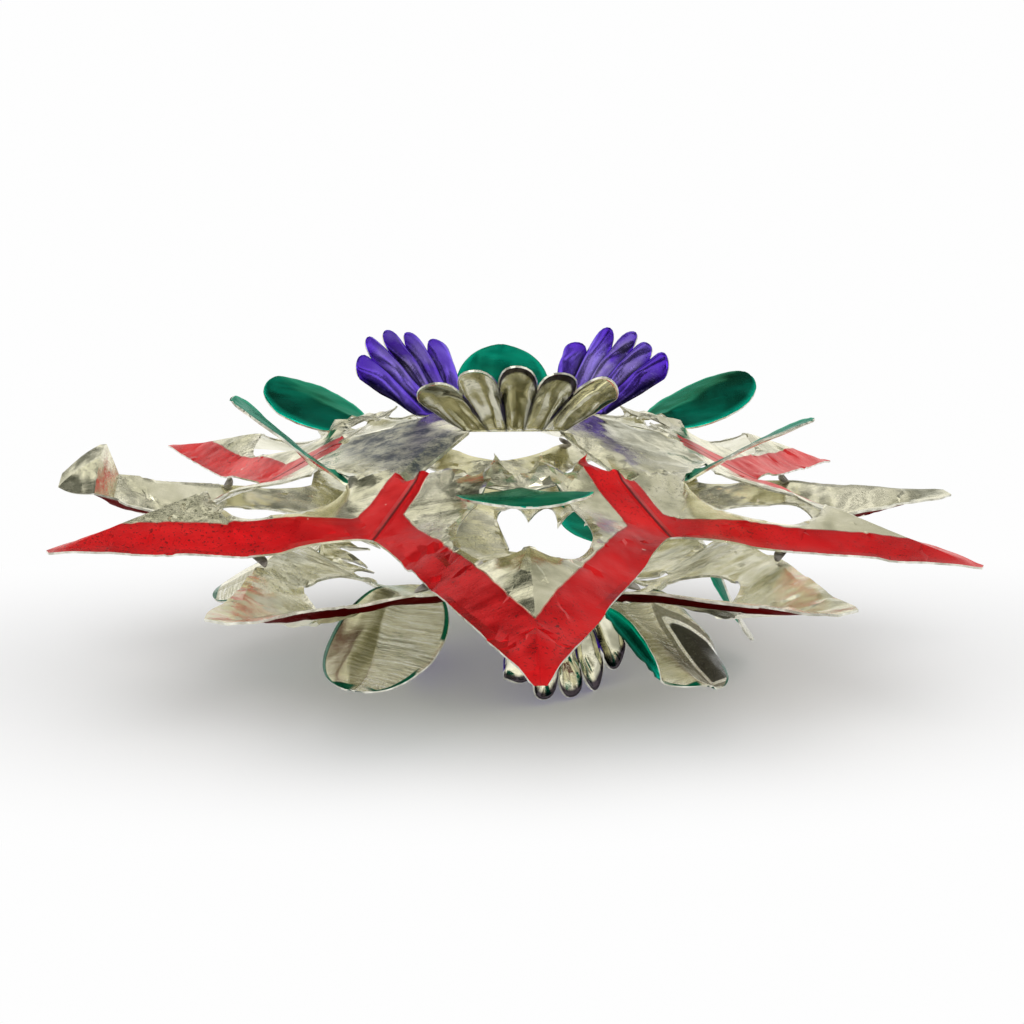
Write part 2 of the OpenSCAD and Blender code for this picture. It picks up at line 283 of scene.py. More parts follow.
def band_at(x, y, which):
    """Distance in mm to the edge of the red lacquer band, negative inside it."""
    k, l, d = sector(x, y)
    run = math.hypot(TIP_R - VALLEY_D, VALLEY_L - TIP_W / 2)
    nx, nd = (TIP_R - VALLEY_D) / run, (VALLEY_L - TIP_W / 2) / run
    to_edge = (VALLEY_L - abs(l)) * nx + (VALLEY_D - d) * nd
    r = math.hypot(x, y)
    off = math.radians(HALF) - abs(math.atan2(l, d))
    to_seam, along = r * math.sin(off), r * math.cos(off)
    strip = STRIPS.get((k, 1 if l > 0 else -1), STRIP) if which == "upper" else STRIP
    start = SEAM_R - (7 if which == "upper" and k == 0 and l > 0 else 0.8)
    return min(to_edge - BAND, max(to_seam - strip, start - along))


def groove(x, y, ax, ay, bx, by, w):
    """1 on the line from a to b, falling to 0 at w beside it."""
    vx, vy = bx - ax, by - ay
    t = unit(((x - ax) * vx + (y - ay) * vy) / (vx * vx + vy * vy))
    return max(0.0, 1 - math.hypot(x - ax - t * vx, y - ay - t * vy) / w)


def pits_at(which, x, y):
    """Where the tin is thick with tarnish pits. Negative where it is clean."""
    k, l, d = sector(x, y)
    if which == "upper" and k == 5:
        return unit((d - 40) / 6)
    if which == "upper" and k == 1:
        return 0.45 * max(0.0, 1 - math.hypot(l + 9, d - 29) / 8) - unit((d - 38) / 4)
    return 0.0


def painted_dark_reflection_at(which, x, y):
    """Where a dark reflection is painted into the face, which is also finely scratched."""
    if which != "upper":
        return 0.0
    k, l, _ = sector(x, y)
    r = math.hypot(x, y)
    amount = {5: 1.0, 0: 0.45 if l < 0 else 0.1, 1: 0.05}.get(k, 0.2)
    return amount * unit(r - 13.5) * unit((27.5 - r) / 3.0)


# How far each cusp between two petals of a window is curled up, by window
CURLS = {
    "upper": {0: [-1.5, 1.7, 1.5, 1.7], 2: [0.9, -0.5, 1.2, 0.4], 4: [0.5, 1.0, -0.6, 1.0]},
    "lower": {0: [-0.4, 0.8, 0.6, -0.5], 2: [0.6, -0.4, 0.8, 0.5], 4: [0.7, -0.8, 0.9, 0.6]},
}
# Sideways shift of the front window's cusps
SHIFTS = [-1.5, -0.7, 0.5, 1.9]
# Reach of a cusp's curl or shift
CUSP_R = 3.4


def handwork(which, x, y):
    """What the tinsmith's hands and the years did to the sheet, as a change of height."""
    k, l, d = sector(x, y)
    seed = 3.1 if which == "upper" else 11.7
    h = 0.32 * fractal(x, y, 0, 12, seed) + 0.08 * fractal(x, y, 0, 4.6, seed + 5)
    r = math.hypot(x, y)
    if k % 2 == 0:
        for (cl, cd), curl in zip(CUSPS, CURLS[which][k]):
            w = max(0.0, 1 - math.hypot(l - cl, d - cd) / CUSP_R)
            h += curl * w ** 1.5
            side = 1 if cl > 0 else -1
            if abs(cl) < 6:
                h += 0.55 * groove(l, d, cl, cd, cl * 0.5 + side * 3.2, FOLD_D, 1.3)
                h -= 0.35 * groove(l, d, cl, cd, side * 0.3, FOLD_D, 1.1)
    # The strip beside each leaf's fold is dimpled where the leaf was pulled out
    h += 0.5 * groove(l, d, NECK_W / 2, FOLD_D, NECK_W / 2 + 3, FOLD_D - 2.5, 1.6)
    h += 0.4 * groove(l, d, -NECK_W / 2, FOLD_D, -NECK_W / 2 - 3, FOLD_D - 2, 1.6)
    if which == "upper" and k == 0:
        # A crescent dent in the left band of the front point
        q = math.hypot(l + 12.2, (d - 44.5) * 0.7)
        h -= 0.7 * max(0.0, 1 - abs(q - 2.9) / 0.7) * (1 if d < 45.0 else 0.3)
        h += 0.45 * max(0.0, 1 - q / 2.6)
        # Its end is a little rolled
        h -= 0.9 * max(0.0, (d - 66.5) / 3.5) ** 2
        h += 0.5 * max(0.0, 1 - abs(d - 63.5) / 2.2) * max(0.0, 1 - abs(l) / 3)
        # The strip between the front window and the leaf is pulled up
        out = math.hypot(l, d - APEX_D) - FAN_R
        h += 1.25 * max(0.0, 1 - abs(out + 0.8) / 3.4) * max(0.0, 1 - (l / 19) ** 4)
    if which == "upper":
        # Along its sides the front window's rim is turned down
        for side in (1, -1):
            h -= 1.2 * groove(side * x, y, 9.3, -14.8, 14.6, -21.4, 2.2) ** 0.7
            h -= 0.8 * groove(side * x, y, 13.2, -18.8, 15.0, -20.9, 1.9)
    if which == "lower" and k == 5:
        for i in range(5):
            c = -9 + 4.1 * i
            h += 0.45 * groove(l, d, c, 41 + 2 * i, c - 3.5, 58 - 0.5 * i, 1.2)
    if r < 13:
        h *= 0.4
    return h


def new_mesh(name, verts, faces, mats, index, smooth, values=None):
    me = bpy.data.meshes.new(name)
    me.from_pydata([tuple(v) for v in np.asarray(verts) * 0.001], [], faces)
    me.polygons.foreach_set("material_index", index)
    me.polygons.foreach_set("use_smooth", smooth)
    for key, val in (values or {}).items():
        me.attributes.new(key, "FLOAT", "POINT").data.foreach_set("value", np.asarray(val, float))
    me.validate()
    me.update()
    ob = bpy.data.objects.new(name, me)
    bpy.context.scene.collection.objects.link(ob)
    for m in mats:
        me.materials.append(m)
    return ob


def nearest(x, y, others):
    """Distance from each place to the nearest of the others."""
    out = np.zeros(len(x))
    for s in range(0, len(x), CHUNK):
        dx = x[s:s + CHUNK, None] - others[None, :, 0]
        dy = y[s:s + CHUNK, None] - others[None, :, 1]
        out[s:s + CHUNK] = np.sqrt((dx * dx + dy * dy).min(1))
    return out


# The sheets' mesh: size of its triangles, their rows' distance, length of its pieces of edge,
# unevenness, least distance from an edge, and places taken at a time
CELL, ROW, EDGE_STEP, JITTER, CLEAR, CHUNK = 1.05, 0.866, 1.1, 0.16, 0.45, 400
# Rounds of smoothing, and each round's share for the lesser folds. Crisp ones get one light round.
TURNS, EVEN, EVEN_CRISP = 8, 0.5, 0.3
# The lower points are blunt from here on, and faces that meet at more than SHARP degrees an edge
BLUNT_D, SHARP = 62, 13
# A distance that no material acts on
FAR = 9.0


def sheet_object(name, which, pts, mats):
    """One folded star as a fine mesh with thickness, windows and handwork."""
    faces0, rim = star_faces(), star_rim()
    outline = [tuple(pts[i][:2]) for i in rim]
    co, edges = [], []

    def chain(poly, closed=True):
        o = len(co)
        for i, p in enumerate(poly):
            co.append(p)
            if i or closed:
                edges.append((o + i - 1 if i else o + len(poly) - 1, o + i))

    def densify(poly, step, closed=True):
        out = []
        pairs = list(zip(poly, poly[1:] + poly[:1]))
        for a, b in pairs if closed else pairs[:-1]:
            n = max(1, int(round(math.dist(a, b) / step)))
            out += [(mix(a[0], b[0], i / n), mix(a[1], b[1], i / n)) for i in range(n)]
        return out if closed else out + [poly[-1]]

    chain(densify(outline, EDGE_STEP))
    for w in WINDOWS:
        chain(w)
    seen = set()
    for f in faces0:
        for a, b in zip(f, f[1:] + f[:1]):
            if (min(a, b), max(a, b)) not in seen:
                seen.add((min(a, b), max(a, b)))
                line = [tuple(pts[a][:2]), tuple(pts[b][:2])]
                chain(densify(line, CELL, False), False)
    gx, gy = [], []
    for j in range(int(2 * TIP_R / (CELL * ROW)) + 2):
        y = -TIP_R + j * CELL * ROW
        for i in range(int(2 * TIP_R / CELL) + 2):
            x = -TIP_R + (i + 0.5 * (j % 2)) * CELL
            gx.append(x + JITTER * noise.noise(Vector((x * 3.1, y * 2.7, 1.5))))
            gy.append(y + JITTER * noise.noise(Vector((x * 2.3, y * 3.9, 7.5))))
    gx, gy = np.array(gx), np.array(gy)
    keep = inside(outline, gx, gy)
    for w in WINDOWS:
        keep &= ~inside(w, gx, gy)
    keep &= nearest(gx, gy, np.array(co)) > CLEAR
    co += list(zip(gx[keep].tolist(), gy[keep].tolist()))
    out = delaunay_2d_cdt([Vector(c) for c in co], edges, [], 0, 1e-4)
    v2 = np.array([tuple(v) for v in out[0]])
    tri = np.array([f for f in out[2] if len(f) == 3])
    c = v2[tri].mean(1)
    ok = inside(outline, c[:, 0], c[:, 1])
    for w in WINDOWS:
        ok &= ~inside(w, c[:, 0], c[:, 1])
    e1 = v2[tri[:, 1]] - v2[tri[:, 0]]
    e2 = v2[tri[:, 2]] - v2[tri[:, 0]]
    area = e1[:, 0] * e2[:, 1] - e1[:, 1] * e2[:, 0]
    tri[area < 0] = tri[area < 0][:, ::-1]
    tri = tri[ok & (abs(area) > 1e-5)]
    used = np.unique(tri)
    remap = np.full(len(v2), -1)
    remap[used] = np.arange(len(used))
    v2, tri = v2[used], remap[tri]
    # Height of the folded sheet
    z = np.full(len(v2), np.nan)
    for f in faces0:
        a, b, d = pts[f[0]], pts[f[1]], pts[f[2]]
        m = np.array([[b[0] - a[0], d[0] - a[0]], [b[1] - a[1], d[1] - a[1]]])
        if abs(np.linalg.det(m)) < 1e-9:
            continue
        uv = np.linalg.solve(m, (v2 - a[:2]).T)
        hit = (uv[0] > -1e-4) & (uv[1] > -1e-4) & (uv.sum(0) < 1 + 1e-4) & np.isnan(z)
        z[hit] = a[2] + uv[0][hit] * (b[2] - a[2]) + uv[1][hit] * (d[2] - a[2])
    z = np.nan_to_num(z)
    # Edges of the mesh, for rounding the folds
    es = np.sort(np.concatenate([tri[:, [0, 1]], tri[:, [1, 2]], tri[:, [2, 0]]]), axis=1)
    uniq = np.unique(es, axis=0)
    knocked_zone = np.array([
        which == "lower" and sector(x, y)[0] == KNOCKED and sector(x, y)[2] > 59 for x, y in v2
    ])
    sl = np.array([sector(x, y)[1:] for x, y in v2])
    crisp = (np.abs(sl[:, 0]) < 0.6) | (np.abs(sl[:, 1] - PLATE_A) < 0.8)
    crisp |= np.abs([seam_at(x, y) for x, y in v2]) < 0.6
    # Seams, ridges and the plate's edges stay crisp, the lesser folds are worked out of the sheet
    for turn in range(TURNS):
        total, n = np.zeros(len(z)), np.zeros(len(z))
        for i, j in ((0, 1), (1, 0)):
            np.add.at(total, uniq[:, i], z[uniq[:, j]])
            np.add.at(n, uniq[:, i], 1)
        part = np.where(crisp, EVEN_CRISP if turn == 0 else 0.0, EVEN)
        z = np.where(knocked_zone, z, mix(z, total / np.maximum(n, 1), part))
    cut = np.array([q for poly in WINDOWS for q in poly])
    rim_near = nearest(v2[:, 0], v2[:, 1], cut)
    z += np.array([handwork(which, x, y) for x, y in v2])
    # The snips left the rims turned down a little
    z -= 0.20 * np.maximum(0, 1 - rim_near / 0.8)
    flat = v2.copy()
    for i, (x, y) in enumerate(flat):
        k, l, d = sector(x, y)
        if which == "lower" and d > BLUNT_D:
            # The ends of the lower points are blunt and rounded
            t = (d - BLUNT_D) / (TIP_R - BLUNT_D)
            wide = l * (1 + (0.7 if k == KNOCKED else 1.3) * t * t)
            v2[i] = at(wide, d - 0.22 * wide * wide * t ** 4, 0, 60 * k)[:2]
            if k == KNOCKED:
                z[i] += 0.67 * wide * t
        if which == "upper" and k == 0 and d < 27:
            for (cl, cd), shift in zip(CUSPS, SHIFTS):
                w = max(0.0, 1 - math.hypot(l - cl, d - cd) / CUSP_R)
                v2[i] += shift * w * w * np.array([cos(60 * k), sin(60 * k)])
    inner = np.column_stack([v2, z])
    fn = np.cross(inner[tri[:, 1]] - inner[tri[:, 0]], inner[tri[:, 2]] - inner[tri[:, 0]])
    nrm = np.zeros_like(inner)
    for i in range(3):
        np.add.at(nrm, tri[:, i], fn)
    nrm /= np.linalg.norm(nrm, axis=1)[:, None]
    outer = inner + nrm * SHEET
    n = len(inner)
    directed = set(map(tuple, np.concatenate([tri[:, [0, 1]], tri[:, [1, 2]], tri[:, [2, 0]]])))
    walls = []
    for a, b in directed:
        if (b, a) not in directed:
            walls.append((int(a), int(a) + n, int(b) + n, int(b)))
    walls.sort()
    faces = [tuple(int(i) for i in t) for t in tri]
    faces += [tuple(int(i) + n for i in t[::-1]) for t in tri]
    faces += walls
    index = [0] * len(tri) + [1] * len(tri) + [2] * len(walls)
    smooth = [True] * (2 * len(tri)) + [False] * len(walls)
    verts = np.concatenate([outer, inner])
    values = {
        "band": [band_at(x, y, which) for x, y in flat] * 2,
        "seam": [seam_at(x, y) if math.hypot(x, y) > SEAM_R - 2 else FAR for x, y in flat] * 2,
        "rim": list(np.maximum(0, 1 - rim_near / 1.5)) * 2,
        "pits": [pits_at(which, x, y) for x, y in flat] * 2,
        "painted_dark_reflection": [painted_dark_reflection_at(which, x, y) for x, y in flat] * 2,
    }
    verts, faces = place(verts, faces, which, 0)
    ob = new_mesh(name, verts, faces, mats, index, smooth, values)
    ob.data.set_sharp_from_angle(angle=math.radians(SHARP))
    return ob


def place(verts, faces, which, a):
    """From a sheet's own sense into the row frame. The lower sheet is mirrored and turned."""
    v = np.array(verts, float)
    if which == "lower":
        v[:, 2] *= -1
        faces = [f[::-1] for f in faces]
        a += HALF
    x, y = v[:, 0].copy(), v[:, 1].copy()
    v[:, 0], v[:, 1] = x * cos(a) - y * sin(a), x * sin(a) + y * cos(a)
    v[:, 2] += EQ
    return v, faces


def bent(u, length, b, curl):
    """(out, up, angle) at u along a tab that is bent by b at its fold and then curls on."""
    ub = min(u, BEND)
    ang = b * ub / BEND
    rb = BEND / math.radians(b)
    past = max(0.0, u - BEND)
    more = curl * past / (length - BEND)
    chord = past * (1 if abs(more) < 1e-9 else sin(more / 2) / (more * math.pi / 360))
    return (
        rb * sin(ang) + chord * cos(b + more / 2),
        rb * (1 - cos(ang)) + chord * sin(b + more / 2),
        ang + more,
    )


def tab_object(name, grid, rows, which, a, mats, values):
    """A bent tab from rows + 1 rows of places on its inner face, a sheet thick."""
    g = np.array(grid).reshape(rows + 1, -1, 3)
    du, dv = np.gradient(g, axis=0), np.gradient(g, axis=1)
    nrm = np.cross(du, dv)
    nrm /= np.linalg.norm(nrm, axis=2)[:, :, None]
    nrm[0] = (0, 0, 1)
    outer = g + nrm * SHEET
    n, m = g.shape[0] - 1, g.shape[1] - 1
    w, count = m + 1, (n + 1) * (m + 1)
    skin = []
    for i in range(n):
        for j in range(m):
            p = i * w + j
            skin.append((p, p + w, p + w + 1, p + 1))
    loop = [i * w for i in range(n)] + [n * w + j for j in range(m)]
    loop += [i * w + m for i in range(n, 0, -1)] + list(range(m, 0, -1))
    walls = [(q + count, q, p, p + count) for p, q in zip(loop, loop[1:] + loop[:1])]
    faces = skin + [tuple(i + count for i in f[::-1]) for f in skin] + walls
    index = [0] * len(skin) + [1] * len(skin) + [2] * len(walls)
    smooth = [True] * (2 * len(skin)) + [False] * len(walls)
    verts = np.concatenate([outer.reshape(-1, 3), g.reshape(-1, 3)])
    verts, faces = place(verts, faces, which, a)
    return new_mesh(name, verts, faces, mats, index, smooth, {k: v * 2 for k, v in values.items()})


# Steps of a fan's mesh along it and across each petal, and of a leaf's along and across it
FAN_ROWS, PETAL_STEPS, LEAF_ROWS, LEAF_COLS = 30, 14, 34, 26
FAN_CURL = -8
# How unevenly the petals of each sheet's fans are hammered
HAND = {"upper": 0.35, "lower": 0.8}


def fan_object(name, which, a, bend, length, draw, seed, mats):
    """A fluted fan. Draw is the share by which it narrows towards its end."""
    grid, values = [], {"flute": [], "along": [], "petal": [], "over": []}
    for i in range(FAN_ROWS + 1):
        s = i / FAN_ROWS
        for ang in fan_angles(PETAL_STEPS):
            petal = min(PETALS - 1, max(0, int((ang + FAN_HALF) / (2 * PETAL_HALF) - 1e-9)))
            wave = cos(90 * petal_u(ang))
            odd = [noise.noise(Vector((petal * 7.3 + q * 3.1, seed * 5.7, 0.5))) for q in range(3)]
            l, d = fan_at(ang, s)
            grow = 1 + 0.17 * (odd[0] - 0.2) * s * wave
            l += 0.9 * odd[1] * s * s * wave
            c = bent((d - FAN_D) * grow * length / FAN_LEN, length, bend, FAN_CURL)
            rise = (FLUTE + 0.5 * odd[1]) * min(1, 1.5 * s) * (wave ** 0.7 - 0.5)
            # Each petal is a shallow spoon, and no two are hammered alike
            hand = HAND[which] * fractal(l, d, petal, 4, seed) * min(1, 3 * s)
            spoon = -0.6 * max(0.0, s - 0.62) / 0.38 * wave + 1.1 * odd[2] * s * s * wave
            rise += hand + spoon
            grid.append((
                l * (1 - draw * s),
                -FAN_D - c[0] + rise * sin(c[2]),
                PLATE_Z + c[1] + rise * cos(c[2]),
            ))
            for key, value in zip(values, (wave, s, petal, math.radians(ang) * 0.02)):
                values[key].append(value)
    lo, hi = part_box(name)
    ob = tab_object("tin_" + name, grid, FAN_ROWS, which, a, mats, values)
    if which == "lower":
        # The ornament stands on these fans
        z = [v.co.z for v in ob.data.vertices]
        top, low = max(z), min(z)
        for v in ob.data.vertices:
            v.co.z = top - (top - v.co.z) * (top - lo[2]) / (top - low)
    fit_inside(ob, lo, hi)
    return ob


def fit_inside(ob, lo, hi):
    """Keeps a piece's places within the box of the CAD node that it stands for."""
    me = ob.data
    co = np.zeros(len(me.vertices) * 3)
    me.vertices.foreach_get("co", co)
    co = co.reshape(-1, 3)
    co = np.minimum(np.maximum(co, np.array(lo)), np.array(hi))
    me.vertices.foreach_set("co", co.ravel())
    me.update()


SEAM_D, SEAM_L = SEAM_R * cos(HALF), SEAM_R * sin(HALF)
# A leaf's rows end just short of 180 degrees, so that its end is no single place
LEAF_LAST = 176.5


def fold_z(l, rz):
    """Height of a leaf's fold at l beside its ridge, whose own height there is rz."""
    b = ((SEAM_Z - rz) * VALLEY_L - (VALLEY_Z - rz) * SEAM_L) / (
        (SEAM_D - FOLD_D) * VALLEY_L - (VALLEY_D - FOLD_D) * SEAM_L
    )
    a = (VALLEY_Z - rz - b * (VALLEY_D - FOLD_D)) / VALLEY_L
    return rz + a * abs(l) + b * CUT_BACK


def facet_at(poly, l, u):
    """Distance in mm to the edge of a convex facet, negative inside it."""
    return max(
        ((bu - au) * (l - al) - (bl - al) * (u - au)) / math.hypot(bl - al, bu - au)
        for (al, au), (bl, bu) in zip(poly, poly[1:] + poly[:1])
    )


def leaf_object(name, which, k, rz, bend, form, seed, mats,
                creases=(), fold=None, facet=None, long=1.0):
    """A leaf in the point k. Form is its curl, dish, twist and sideways lean."""
    curl, dish, twist, lean = form
    first = math.degrees(math.acos(LEAF_CUT))
    grid, values = [], {"along": [], "across": [], "facet": []}
    for i in range(LEAF_ROWS + 1):
        s = i / LEAF_ROWS
        t = mix(first, LEAF_LAST, s)
        u = LEAF_C - LEAF_A * cos(t)
        c = bent(u * long, LEAF_LEN, bend, curl)
        roll = twist * (1 - (1 - s) ** 2)
        ease = min(1, 4 * s)
        for j in range(LEAF_COLS + 1):
            f = 2 * j / LEAF_COLS - 1
            l = f * LEAF_W / 2 * sin(t)
            rise = dish * min(1, 2 * s) * f * f * sin(t) + l * sin(roll)
            rise += ease * (0.25 * fractal(l, u, 0, 6, seed) + 0.06 * fractal(l, u, 0, 1.8, seed))
            # The edge was cut with snips and is a little ragged
            rise += ease * 0.12 * abs(f) ** 8 * fractal(u, l, 3, 1.6, seed)
            for (al, au, bl, bu, w, h) in creases:
                rise += ease * h * groove(l, u, al, au, bl, bu, w)
            to_facet = facet_at(facet, l, u) if facet else FAR
            if fold:
                # One side is turned over along a chord, towards the bare face
                al, au, bl, bu, turn = fold
                run = math.hypot(bl - al, bu - au)
                nl, nu = -(bu - au) / run, (bl - al) / run
                e = (l - al) * nl + (u - au) * nu
                if e > 0:
                    l -= e * nl * (1 - cos(turn))
                    rise -= e * sin(turn)
            # Crumpled at the fold
            rise += 0.25 * max(0.0, 1 - u / 3.5) * ease * noise.noise(Vector((l * 0.9, seed, u)))
            grid.append((
                l * cos(roll) + lean * s,
                -LEAF_D - c[0] + rise * sin(c[2]),
                rz + c[1] + rise * cos(c[2]) + (fold_z(l, rz) - rz) * (1 - s) ** 3,
            ))
            for key, value in zip(values, (u / LEAF_LEN, f, to_facet)):
                values[key].append(value)
    ob = tab_object("tin_" + name, grid, LEAF_ROWS, which, 60 * k, mats, values)
    fit_inside(ob, *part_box(name))
    return ob


# Materials ------------------------------


class Nodes:
    """A short way to write a node tree."""

    def __init__(self, tree, output):
        self.t = tree
        self.t.nodes.clear()
        self.out = self.node(output)
        self.coords = self.node("ShaderNodeTexCoord").outputs
        self.obj = self.coords["Object"]

    def node(self, kind, **kw):
        n = self.t.nodes.new(kind)
        for k, v in kw.items():
            setattr(n, k, v)
        return n

    def put(self, socket, value):
        if isinstance(value, bpy.types.NodeSocket):
            self.t.links.new(value, socket)
        elif isinstance(value, (tuple, list)) and len(value) == 3 and socket.type == "RGBA":
            socket.default_value = (*value, 1)
        else:
            socket.default_value = value

    def put_all(self, node, values):
        for socket, value in zip(node.inputs, values):
            self.put(socket, value)

    def noise(self, scale, detail=3.0, rough=0.55, stretch=(1, 1, 1), shift=0.0, dist=0.0,
              at=None):
        m = self.node("ShaderNodeMapping")
        self.put(m.inputs["Vector"], at or self.obj)
        m.inputs["Location"].default_value = (shift, shift * 0.7, -shift)
        m.inputs["Scale"].default_value = tuple(stretch)
        n = self.node("ShaderNodeTexNoise")
        self.put(n.inputs["Vector"], m.outputs[0])
        n.inputs["Scale"].default_value = scale
        n.inputs["Detail"].default_value = detail
        n.inputs["Roughness"].default_value = rough
        n.inputs["Distortion"].default_value = dist
        return n.outputs[0]

    def ramp(self, fac, stops):
        r = self.node("ShaderNodeValToRGB")
        self.put(r.inputs[0], fac)
        e = r.color_ramp.elements
        while len(e) < len(stops):
            e.new(0.5)
        for el, (p, c) in zip(e, stops):
            el.position = p
            el.color = (*c, 1) if isinstance(c, tuple) else (c, c, c, 1)
        return r.outputs[0]

    def math(self, op, a, b=0.0, clamp=False):
        n = self.node("ShaderNodeMath", operation=op, use_clamp=clamp)
        self.put_all(n, (a, b))
        return n.outputs[0]

    def span(self, v, a, b, c=0.0, d=1.0, smooth=False):
        """From c to d while v runs from a to b."""
        kind = "SMOOTHSTEP" if smooth else "LINEAR"
        n = self.node("ShaderNodeMapRange", clamp=True, interpolation_type=kind)
        self.put_all(n, (v, a, b, c, d))
        return n.outputs[0]

    def mix(self, fac, a, b):
        n = self.node("ShaderNodeMix", data_type="RGBA")
        self.put(n.inputs[0], fac)
        self.put(n.inputs[6], a)
        self.put(n.inputs[7], b)
        return n.outputs[2]

    def light(self, kind, color, strength=1.0):
        n = self.node(kind)
        self.put_all(n, (color, strength))
        return n.outputs[0]

    def mix_shader(self, fac, a, b):
        n = self.node("ShaderNodeMixShader")
        self.put_all(n, (fac, a, b))
        return n.outputs[0]

    def attr(self, name):
        n = self.node("ShaderNodeAttribute", attribute_name=name)
        return n.outputs["Fac"]

    def bump(self, height, dist, strength=1.0, normal=None):
        n = self.node("ShaderNodeBump")
        n.inputs["Strength"].default_value = strength
        n.inputs["Distance"].default_value = dist
        self.put(n.inputs["Height"], height)
        if normal is not None:
            self.put(n.inputs["Normal"], normal)
        return n.outputs[0]

    def surface(self, **kw):
        b = self.node("ShaderNodeBsdfPrincipled")
        for k, v in kw.items():
            self.put(b.inputs[k], v)
        self.t.links.new(b.outputs[0], self.out.inputs[0])
        return self.mat


def material(name):
    mat = bpy.data.materials.new(name)
    mat.use_nodes = True
    n = Nodes(mat.node_tree, "ShaderNodeOutputMaterial")
    n.mat = mat
    return n


def tin_layers(n, shift=0.0):
    """Colour, roughness and normal of bare aged tinplate."""
    cloud = n.noise(85, 3, 0.6, shift=shift, dist=0.8)
    color = n.ramp(cloud, [
        (0.30, (0.38, 0.38, 0.26)),
        (0.46, (0.74, 0.72, 0.54)),
        (0.62, (0.97, 0.94, 0.76)),
    ])
    # Painted dark reflection on the flanks beside the front fan, broken up by a mottle
    mottle = n.noise(380, 5, 0.85, stretch=(1, 1.3, 1), shift=shift + 12)
    mottle = n.span(mottle, 0.42, 0.60, 1.0, 0.35)
    color = n.mix(n.math("MULTIPLY", n.attr("painted_dark_reflection"), mottle), color, (0.11, 0.125, 0.145))
    # Painted highlight: a cream line along the cut rims of the windows
    color = n.mix(n.math("MULTIPLY", n.attr("rim"), 0.8), color, (0.99, 0.97, 0.84))
    # Tarnish in fine flecks, thick in some places and thin in others
    flecks = n.noise(1700, 5, 0.8, shift=shift + 2)
    where = n.span(n.noise(70, 2, 0.5, shift=shift + 4), 0.50, 0.72)
    where = n.math("ADD", where, n.attr("pits"), clamp=True)
    level = n.math("ADD", flecks, n.math("MULTIPLY", n.attr("pits"), 0.035))
    fleck = n.math("MULTIPLY", n.span(level, 0.53, 0.63), where)
    color = n.mix(n.math("MULTIPLY", fleck, 0.85), color, (0.20, 0.20, 0.13))
    # Scratches one way, with a few across
    scratch = n.noise(260, 4, 0.7, stretch=(0.6, 9, 4), shift=shift + 1)
    across = n.noise(240, 3, 0.7, stretch=(8, 0.7, 4), shift=shift + 6)
    lines = n.math("ADD", n.math("MULTIPLY", scratch, 0.7), n.math("MULTIPLY", across, 0.3))
    color = n.mix(n.span(lines, 0.58, 0.70, 0, 0.35), color, (0.96, 0.95, 0.86))
    rough = n.math("ADD", n.span(cloud, 0.3, 0.7, 0.08, 0.22), n.math("MULTIPLY", fleck, 0.35))
    rough = n.math("ADD", rough, n.span(lines, 0.4, 0.7, 0.0, 0.10))
    rough = n.math("ADD", rough, n.math("MULTIPLY", n.attr("painted_dark_reflection"), 0.22))
    wave = n.noise(150, 2, 0.5, shift=shift + 3)
    nrm = n.bump(wave, 0.0009, 0.65)
    nrm = n.bump(lines, 0.00006, 0.6, nrm)
    nrm = n.bump(n.math("MULTIPLY", fleck, -1.0), 0.00002, 0.6, nrm)
    return color, rough, nrm


def tin_material(name, shift=0.0):
    n = material(name)
    color, rough, nrm = tin_layers(n, shift)
    return n.surface(**{
        "Base Color": color, "Metallic": 1.0, "Roughness": rough, "Normal": nrm,
    })


def edge_material():
    n = material("cut_edge")
    c = n.ramp(n.noise(700, 3), [(0.35, (0.46, 0.45, 0.37)), (0.65, (0.93, 0.92, 0.82))])
    return n.surface(**{
        "Base Color": c, "Metallic": 1.0,
        "Roughness": n.span(n.noise(300), 0.3, 0.7, 0.22, 0.42),
        "Normal": n.bump(n.noise(900, 3), 0.0001, 0.6),
    })


